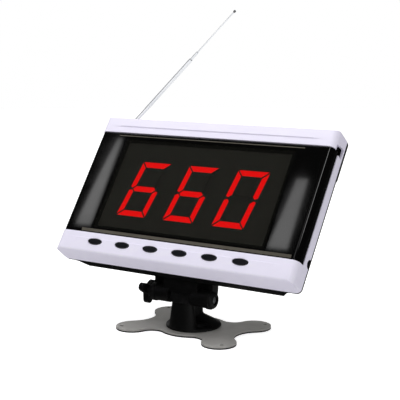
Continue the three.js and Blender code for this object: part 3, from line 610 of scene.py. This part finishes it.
# %% Display
FILTER_BACK, FILTER_FACE = 19.9, 21.7
WIDE, TALL, STROKE, MITRE = 35.8, 62.4, 6.3, 0.8
MID = TALL / 2
SLANT = math.tan(math.radians(8.5))
DIGIT_PITCH = 57.3
DIGIT_FOOT = 49.2
LENS_BACK, LENS_FACE = 17, 18.9
TOP = [(MITRE, TALL), (WIDE - MITRE, TALL), (WIDE - MITRE - STROKE, TALL - STROKE),
       (MITRE + STROKE, TALL - STROKE)]
UPPER = [(0, TALL - MITRE), (0, MID + 2.2), (STROKE / 2, MID + MITRE),
         (STROKE, MID + STROKE / 2 + 0.5), (STROKE, TALL - STROKE - MITRE)]
MIDDLE = [(STROKE / 2 + MITRE, MID), (STROKE + MITRE, MID + STROKE / 2),
          (WIDE - STROKE - MITRE, MID + STROKE / 2), (WIDE - STROKE / 2 - MITRE, MID),
          (WIDE - STROKE - MITRE, MID - STROKE / 2), (STROKE + MITRE, MID - STROKE / 2)]


def across(points):
    return [(WIDE - x, y) for x, y in reversed(points)]


def over(points):
    return [(x, TALL - y) for x, y in reversed(points)]


STROKES = {"a": TOP, "b": across(UPPER), "c": over(across(UPPER)), "d": over(TOP),
           "e": over(UPPER), "f": UPPER, "g": MIDDLE}
SHOWN = ["acdefg", "acdefg", "abcdef"]
print("strokes", sorted(STROKES), "lit", SHOWN)

# %% Filter, lenses and mask
sheet = bar(-100, 100, 31.4, 135.6, FILTER_BACK, FILTER_FACE, "n", 0.8, 4)
placed("smoked_filter", softened(sheet, 0.2, 2), HEAD, "head", FILTER,
       ["display_filter"])
windows = []
for index, shown in enumerate(SHOWN):
    start = (index - 1) * DIGIT_PITCH - WIDE / 2 - SLANT * TALL / 2
    lenses = {"lit": [], "unlit": []}
    for letter, points in STROKES.items():
        leaned = [(start + x + y * SLANT, DIGIT_FOOT + y) for x, y in points]
        lens = softened(plate(leaned, LENS_BACK, LENS_FACE, "n", 0.25, 2), 0.25, 2)
        windows.append(plate(leaned, LENS_BACK, PANEL_FACE))
        lenses["lit" if letter in shown else "unlit"].append(lens)
    number = index + 1
    placed(f"digit_{number}_lit", gathered(lenses["lit"]), HEAD, "head", RED,
           [f"digit_diffuser_{number}"])
    placed(f"digit_{number}_unlit", gathered(lenses["unlit"]), HEAD, "head", UNLIT)
mask = cut(bar(-99.5, 99.5, 31.9, 135.1, LENS_FACE + 0.15, LENS_FACE + 0.55), *windows)
placed("display_mask", mask, HEAD, "head", MASK)

# %% [markdown]
# ## Keys
# Each key is a shallow crowned oval with a hidden flange, so that it can't fall out of its hole,
# and a stem that presses a switch. A turned body stretched across gives the crown and all its
# rounds in one go.

# %% Keys
STEM_END = 17
KEY_SQUASH = 0.37
CAP = [(0, 13), (1.8, 13), (1.8, 17.6), (9.6, 17.6), (9.6, 19), (8.45, 19), (8.4, 22.6),
       (8.2, 23.1), (7.7, 23.45), (6, 23.68), (3, 23.78), (0, 23.8)]
for index, u in enumerate(KEYS):
    cap = turned(CAP, 56)
    wide = [vert for vert in cap.verts if vert.co.z > STEM_END]
    bmesh.ops.scale(cap, vec=(1, KEY_SQUASH, 1), verts=wide)
    bmesh.ops.translate(cap, vec=(u, KEY_V, 0), verts=cap.verts)
    placed(f"key_{index + 1}_cap", cap, HEAD, f"key_{index + 1}", KEY,
           [f"key_cap_{index + 1}"])

# %% [markdown]
# ## Rear cover
# The back is a thin rim with a shallow pan on it. The pan's sides slope, so it is the overlap of
# two plates with sloping ends, and a smaller pan cut out of it leaves an even wall. Slots let the
# buzzer sound and the warm air out, and a shallow blank panel is where a rating label would go.

# %% Rear cover
PAN_DEPTH = 14.5
RIM_BACK = -2.6
RIM_FRONT = -0.3
SLOT_BACK, SLOT_FRONT = -20, -11
REAR = [(-129, 12), (129, 12), (-116, 153.4), (116, 153.4)]
JACK = (-72, 20)


def pan(inset, edge):
    floor = inset - PAN_DEPTH
    low = 1.6 + inset
    plan = [(edge, -125 + inset), (floor, -115.5 + inset), (floor, 115.5 - inset), (edge, 125 - inset)]
    side = [(low, edge), (low + 0.2, floor), (136 - inset, floor), (151 - inset, edge)]
    return combined(plate(plan, 0, HEIGHT, "v"), plate(side, -130, 130, "u"), "INTERSECT")


cover = bar(-HALF + 0.3, HALF - 0.3, LOW_EDGE + 0.3, HEIGHT - 0.3, RIM_BACK, RIM_FRONT, "n", 5, 8)
cover = joined(cover, pan(0, -2.1), bar(121, HALF - 0.8, 117, HEIGHT - 0.8, -5.1, -2, "n", 4),
               bar(0.8 - HALF, -121, 117, 146, -5.1, -2, "n", 4))
cover = cut(cover, pan(2, 2))
print("cover blank", len(cover.faces), "faces")

# %% Slots, wells and label recess
label = bar(-104, -50, 44, 84, -17, -14.1, "n", 1.5, 4)
jack_well = disc(*JACK, 6.4, -17, -13.9)
slot = (SLOT_BACK, SLOT_FRONT, "n")
vents = [bar(u - 1.2, u + 1.2, 112, 128, *slot, 1.15, 4) for u in range(-48, 49, 8)]
grille = [bar(53, 71, v - 1.1, v + 1.1, *slot, 1.05, 4) for v in range(60, 81, 5)]
wells = [disc(u, v, 3.1, -9, -2.1) for u, v in REAR]
cover = cut(cover, label, jack_well, *vents, *grille, *wells)
cover = cut(cover, disc(*JACK, 4.4, SLOT_BACK, SLOT_FRONT))
placed("back_cover", softened(cover, 0.4, 2, 25), HEAD, "head", BLACK,
       ["rear_cover"])

# %% [markdown]
# ## Stand
# The stand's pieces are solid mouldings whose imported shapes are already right, so a copy of each
# is merged and given small rounds. That is quicker than modelling them twice, and it keeps them
# exactly where the joints expect them.

# %% Stand
placed("stand_column", refined("pedestal", 0.35), MM, "stand", STAND, ["pedestal"])
placed("yoke_moulding", refined("tilt_yoke", 0.3), MM, "head", STAND, ["tilt_yoke"])
placed("knob", refined("wing_knob", 0.4), MM, "wing", STAND, ["wing_knob"])
placed("bolt", refined("tilt_bolt", 0.3), MM, "head", ZINC, ["tilt_bolt"])
placed("nut", refined("tilt_nut", 0.25), MM, "head", ZINC, ["tilt_nut"])
placed("base_sheet", refined("base_plate", 0.25), MM, "base", STEEL, ["base_plate"])
placed("foam", refined("base_pad", 0.15), MM, "base", FOAM, ["base_pad"])

# %% [markdown]
# ## Antenna
# Three tubes slide in each other. Each mouth is rolled in a little, so that the next tube can't
# pull out, and the last ends in a small turned button. All of them are spun from a section.

# %% Antenna
PIVOT = (-130.4, 158.6, -6)
SWING = math.radians(-27)
ROOT = HEAD @ Matrix.Translation(PIVOT) @ Matrix.Rotation(SWING, 4, "Z")
ROOT = ROOT @ Matrix.Rotation(-math.pi / 2, 4, "X")


def tube(outer, bore, start, end):
    wall = (outer + bore) / 2
    return turned([(0, start), (outer - 0.3, start), (outer, start + 0.3), (outer, end - 1.6),
                   (outer - 0.12, end - 1.1), (outer - 0.12, end - 0.5), (wall, end),
                   (bore, end - 0.1), (bore, start + 1.5), (0, start + 1.5)], 40)


placed("antenna_lower", tube(2.3, 1.85, 4.3, 109), ROOT, "antenna_lower", CHROME,
       ["antenna_tube_1"])
placed("antenna_middle", tube(1.5, 1.15, 22, 120), ROOT, "antenna_middle", CHROME,
       ["antenna_tube_2"])
rod = turned([(0, 100), (0.6, 100), (0.8, 100.3), (0.8, 180), (0, 180)], 24)
placed("antenna_upper", rod, ROOT, "antenna_upper", CHROME, ["antenna_tube_3"])
button = turned([(0, 180.35), (0.8, 180.4), (1.1, 180.7), (1.45, 181.6), (1.5, 182.4), (1.3, 182.9),
                 (0.8, 183.3), (0, 183.45)], 32)
placed("antenna_button", button, ROOT, "antenna_upper", TIP, ["antenna_tip"])
placed("antenna_eye", refined("antenna_knuckle", 0.2), MM, "antenna_lower",
       CHROME, ["antenna_knuckle"])
placed("antenna_pin", refined("antenna_screw", 0.15), MM, "head", CHROME, ["antenna_screw"])

# %% [markdown]
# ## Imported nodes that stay
# Boards, switches, screws and the other inner parts have the right shape already. They keep
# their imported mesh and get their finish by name.

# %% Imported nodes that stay
KEPT = {"swivel_screw": ZINC, "swivel_washer": ZINC, "display_board": BOARD, "key_board": BOARD,
        "receiver_board": BOARD, "receiver_shield": TIN, "buzzer": SWITCH, "power_jack": SWITCH}
for number in range(1, 7):
    KEPT[f"key_switch_{number}"] = SWITCH
for number in range(1, 5):
    KEPT[f"cover_screw_{number}"] = ZINC
for number in (1, 2):
    KEPT[f"bracket_screw_{number}"] = ZINC
for number in (1, 2, 3):
    KEPT[f"digit_housing_{number}"] = HOUSING
for node, look in KEPT.items():
    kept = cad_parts[node]
    kept.data.materials.clear()
    kept.data.materials.append(look)
print(len(KEPT), "packed nodes keep their shape")

# %% [markdown]
# ## Floor
# The setting is a pale table and a white sweep. The table glows a little for the camera only, so
# that it melts into the sweep and keeps just a faint shadow, while it lights the object no more
# than a real table would. Mirror rays pass it by, so that the cards alone shape the reflections.

# %% Floor
TABLE_RADIUS = 3
TABLE_GLOW = 0.7
floor = bmesh.new()
bmesh.ops.create_circle(floor, cap_ends=True, segments=96, radius=TABLE_RADIUS)
floor_mesh = bpy.data.meshes.new("table")
floor.to_mesh(floor_mesh)
floor.free()
table = bpy.data.objects.new("table", floor_mesh)
bpy.context.scene.collection.objects.link(table)
TABLE = finish("table_top", "F4F4F4", "F0F0F0", None, (0.6, 0.7), (500.0, 0.2, 0.00001),
               Emission_Color=(1, 1, 1, 1))
nodes, links = TABLE.node_tree.nodes, TABLE.node_tree.links
camera_ray = nodes.new("ShaderNodeLightPath").outputs["Is Camera Ray"]
seen = spread(nodes, links, camera_ray, 0, 1, 0, TABLE_GLOW)
links.new(seen, nodes["Principled BSDF"].inputs["Emission Strength"])
floor_mesh.materials.append(TABLE)
table.visible_glossy = False
print("table top at", table.location.z)

# %% [markdown]
# ## Light
# The world is an even white for soft shading, and one wide lamp above gives the top its shine.
# Mirror rays see a different room: nearly dark, so that the glossy panel reads as black, with a
# white hoop round the antenna, which is all that a round rod can mirror. Three cards stand where
# only the flanks and the right turn of the panel mirror them. Their corners are found by sending
# a ray from the lens to the panel and on. Real lamps could make the same streaks, but they would
# light everything else too.

# %% Mirror directions
PANEL_OUT = (HEAD.to_3x3() @ Vector((0, 0, 1))).normalized()
PANEL_RIGHT = (HEAD.to_3x3() @ Vector((1, 0, 0))).normalized()
FLANK = math.degrees(math.atan2(PANEL_FACE - FLANK_END, PANEL_SIDE - PANEL_BREAK))
ROD = (ROOT.to_3x3() @ Vector((0, 0, 1))).normalized()


def bounced(u, v, turn):
    slope = math.radians(turn)
    normal = PANEL_OUT * math.cos(slope) + PANEL_RIGHT * math.sin(slope)
    ray = (HEAD @ Vector((u, v, PANEL_FACE)) - camera.location).normalized()
    return ray - 2 * ray.dot(normal) * normal


PANEL_MIRROR = bounced(0, 84, 0)
print("the flank leans", round(FLANK, 2), "degrees, the panel mirrors", PANEL_MIRROR[:])


# %% Cards
def facing(vector):
    dot = add(nodes, "ShaderNodeVectorMath", operation="DOT_PRODUCT")
    links.new(direction, dot.inputs[0])
    dot.inputs[1].default_value = vector
    return dot.outputs["Value"]


def card(corners, strength, soft):
    mask = None
    for first, second in zip(corners, corners[1:] + corners[:1]):
        side = first.cross(second).normalized()
        edge = spread(nodes, links, facing(side), -soft, soft)
        mask = edge if mask is None else product(nodes, links, mask, edge)
    return spread(nodes, links, mask, 0, 1, 0, strength)


def total(first, second):
    node = add(nodes, "ShaderNodeMath", operation="ADD")
    links.new(first, node.inputs[0])
    links.new(second, node.inputs[1])
    return node.outputs[0]


# %% World
SOFT_LIGHT = 0.62
BACKDROP = 1.0
DARK_ROOM = 0.02
HOOP = 1.1
CARD_EDGE = 0.0018
RIGHT_CARD = [(102.2, 33), (128, 33), (126, 106), (111.6, 106)]
LEFT_CARD = [(-102.7, 33), (-106.5, 136), (-118, 136), (-121, 104), (-130.5, 60), (-130.5, 33)]
TURN_CARD = [(134, 44, 23), (134, 44, 27), (134, 150, 27), (134, 150, 23)]

world = bpy.data.worlds.new("studio")
bpy.context.scene.world = world
world.use_nodes = True
nodes, links = world.node_tree.nodes, world.node_tree.links
sky = nodes["Background"]
direction = nodes.new("ShaderNodeTexCoord").outputs["Generated"]
right_card = card([bounced(u, v, FLANK) for u, v in RIGHT_CARD], 1.7, CARD_EDGE)
left_card = card([bounced(u, v, -FLANK) for u, v in LEFT_CARD], 1.8, CARD_EDGE)
turn_card = card([bounced(*corner) for corner in TURN_CARD], 3, 0.01)
along_rod = facing(ROD)
belt = product(nodes, links, spread(nodes, links, along_rod, -0.06, 0.02),
               spread(nodes, links, along_rod, 0.36, 0.28))
clear = spread(nodes, links, facing(PANEL_MIRROR), 0.9, 0.8)
rod_card = spread(nodes, links, product(nodes, links, belt, clear), 0, 1, DARK_ROOM, HOOP)
mirror = total(total(right_card, left_card), total(turn_card, rod_card))
rays = nodes.new("ShaderNodeLightPath")
blend = add(nodes, "ShaderNodeMix", data_type="FLOAT")
links.new(rays.outputs["Is Glossy Ray"], blend.inputs[0])
plain = add(nodes, "ShaderNodeMix", data_type="FLOAT")
links.new(rays.outputs["Is Camera Ray"], plain.inputs[0])
plain.inputs[2].default_value = SOFT_LIGHT
plain.inputs[3].default_value = BACKDROP
links.new(plain.outputs[0], blend.inputs[2])
links.new(mirror, blend.inputs[3])
links.new(blend.outputs[0], sky.inputs["Strength"])
sky.inputs["Color"].default_value = (1, 1, 1, 1)
print("world", world.name, len(nodes), "nodes")

# %% Lamp
LAMP_PLACE = Vector((-0.1, -0.15, 1.05))
lamp = bpy.data.lights.new("overhead", "AREA")
lamp.shape = "RECTANGLE"
lamp.size, lamp.size_y = 0.9, 0.6
lamp.energy = 5.5
overhead = bpy.data.objects.new("overhead", lamp)
bpy.context.scene.collection.objects.link(overhead)
overhead.location = LAMP_PLACE
overhead.rotation_euler = (AIM - LAMP_PLACE).to_track_quat("-Z", "Y").to_euler()
overhead.visible_glossy = False
print("lamp", lamp.size, "by", lamp.size_y, "m")
